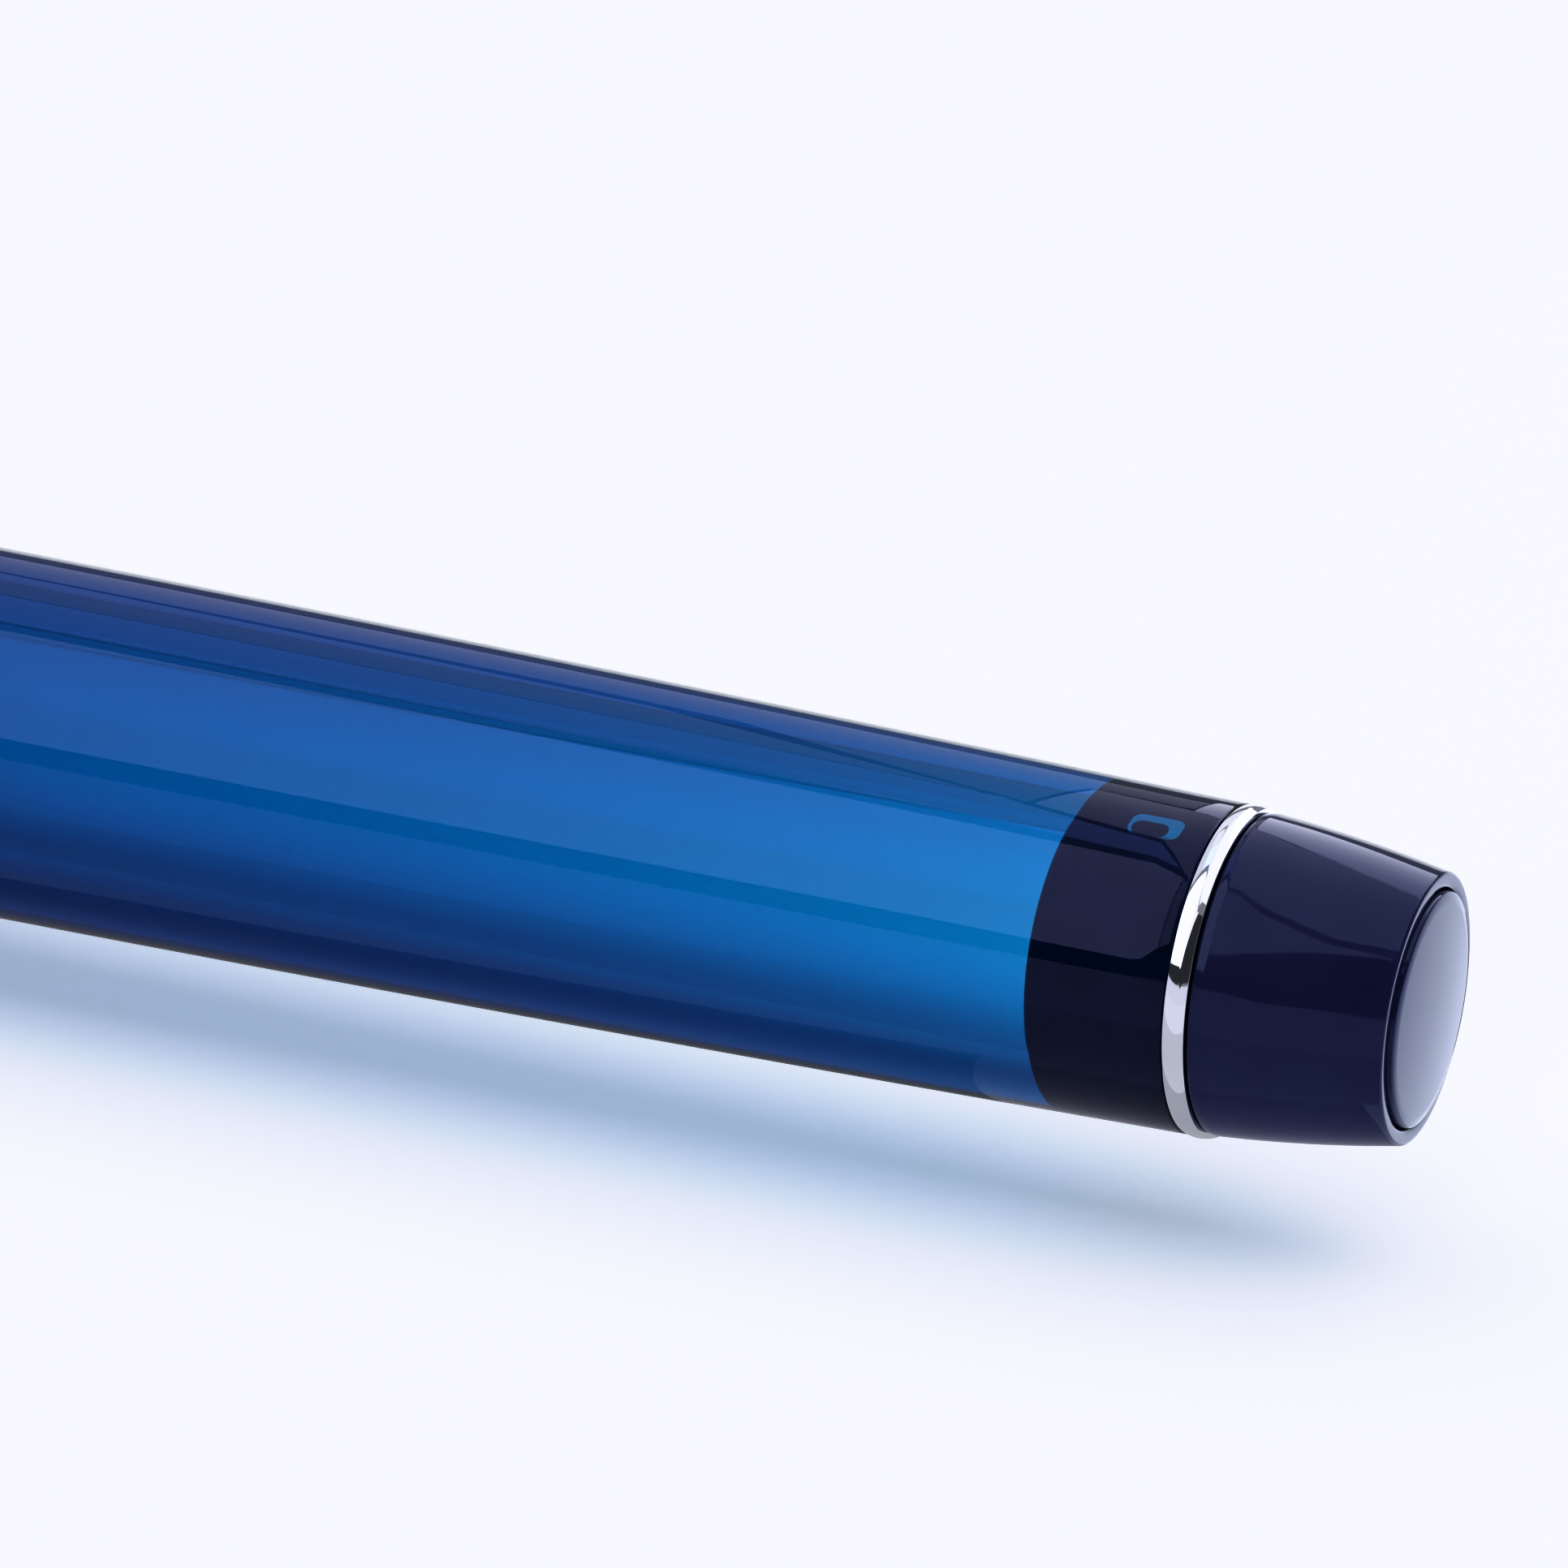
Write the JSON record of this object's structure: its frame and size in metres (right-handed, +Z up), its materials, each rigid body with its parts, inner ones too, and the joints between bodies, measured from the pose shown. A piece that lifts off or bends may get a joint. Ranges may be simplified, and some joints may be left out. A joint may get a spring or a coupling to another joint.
{
  "type": "rollerball pen",
  "caption": "Capped cartridge rollerball pen with a clear tinted barrel, dark tail and cap, bright metal rings and a sprung pocket clip.",
  "frame": {"origin": "centre of the flat at the middle of the tail end face, on the pen's axis", "axes": "+X along the pen's axis, out of the tail; the cap points to -X; +Z up with the pen lying on its side; the clip lies 40 degrees below the horizontal on the -Y side"},
  "size_m": [0.1373, 0.0154, 0.0146],
  "materials": {
    "clear_barrel": "clear blue-tinted moulded plastic, polished",
    "navy_plastic": "opaque navy moulded plastic, polished",
    "bright_trim": "bright chrome plate",
    "brass_bush": "turned brass",
    "grip_plastic": "black-blue moulded plastic, satin",
    "seal_rubber": "black nitrile",
    "feed_plastic": "black moulded plastic, matte",
    "wick_fibre": "bonded fibre rod, soaked with ink",
    "tip_steel": "turned stainless steel",
    "ball_carbide": "polished carbide",
    "cartridge_plastic": "translucent natural polyethylene",
    "ink": "dark blue writing ink",
    "liner_plastic": "grey moulded plastic, matte"
  },
  "bodies": {
    "barrel": {"barrel_tube": "clear_barrel", "tail_sleeve": "navy_plastic", "tail_ring": "bright_trim", "tail_cone": "navy_plastic", "tail_button": "navy_plastic", "barrel_bush": "brass_bush"},
    "section": {"section_grip": "grip_plastic", "section_o_ring": "seal_rubber", "nose_cone": "bright_trim", "feed_comb": "feed_plastic", "ink_wick": "wick_fibre", "cartridge_spigot": "feed_plastic", "ball_tip": "tip_steel"},
    "ball": {"writing_ball": "ball_carbide"},
    "cartridge": {"cartridge_shell": "cartridge_plastic", "cartridge_ink": "ink", "cartridge_stopper_ball": "tip_steel"},
    "cap": {"cap_body": "navy_plastic", "cap_lip_ring": "bright_trim", "cap_band": "bright_trim", "cap_liner": "liner_plastic", "cap_snap_ring": "tip_steel", "tip_seal_pad": "seal_rubber", "clip_ring": "bright_trim", "crown_screw": "tip_steel", "cap_crown": "navy_plastic", "crown_button": "navy_plastic"},
    "clip": {"clip_arm": "bright_trim", "clip_ball": "bright_trim"}
  },
  "joints": [
    {"name": "section_pull", "type": "slide", "parent": "barrel", "child": "section", "axis": [-1, 0, 0], "range_m": [0, 0.045]},
    {"name": "cap_pull", "type": "slide", "parent": "section", "child": "cap", "axis": [-1, 0, 0], "range_m": [0, 0.06]},
    {"name": "clip_flex", "type": "hinge", "parent": "cap", "child": "clip", "pos_m": [-0.1321, -0.00523, -0.00439], "axis": [0, 0.6428, -0.766], "range_deg": [0, 4], "stiffness_Nm_per_rad": 3},
    {"name": "cartridge_pull", "type": "slide", "parent": "section", "child": "cartridge", "axis": [1, 0, 0], "range_m": [0, 0.02]},
    {"name": "ball_roll", "type": "hinge", "parent": "section", "child": "ball", "pos_m": [-0.12698, 0, 0], "axis": [0, 1, 0], "continuous": true}
  ]
}
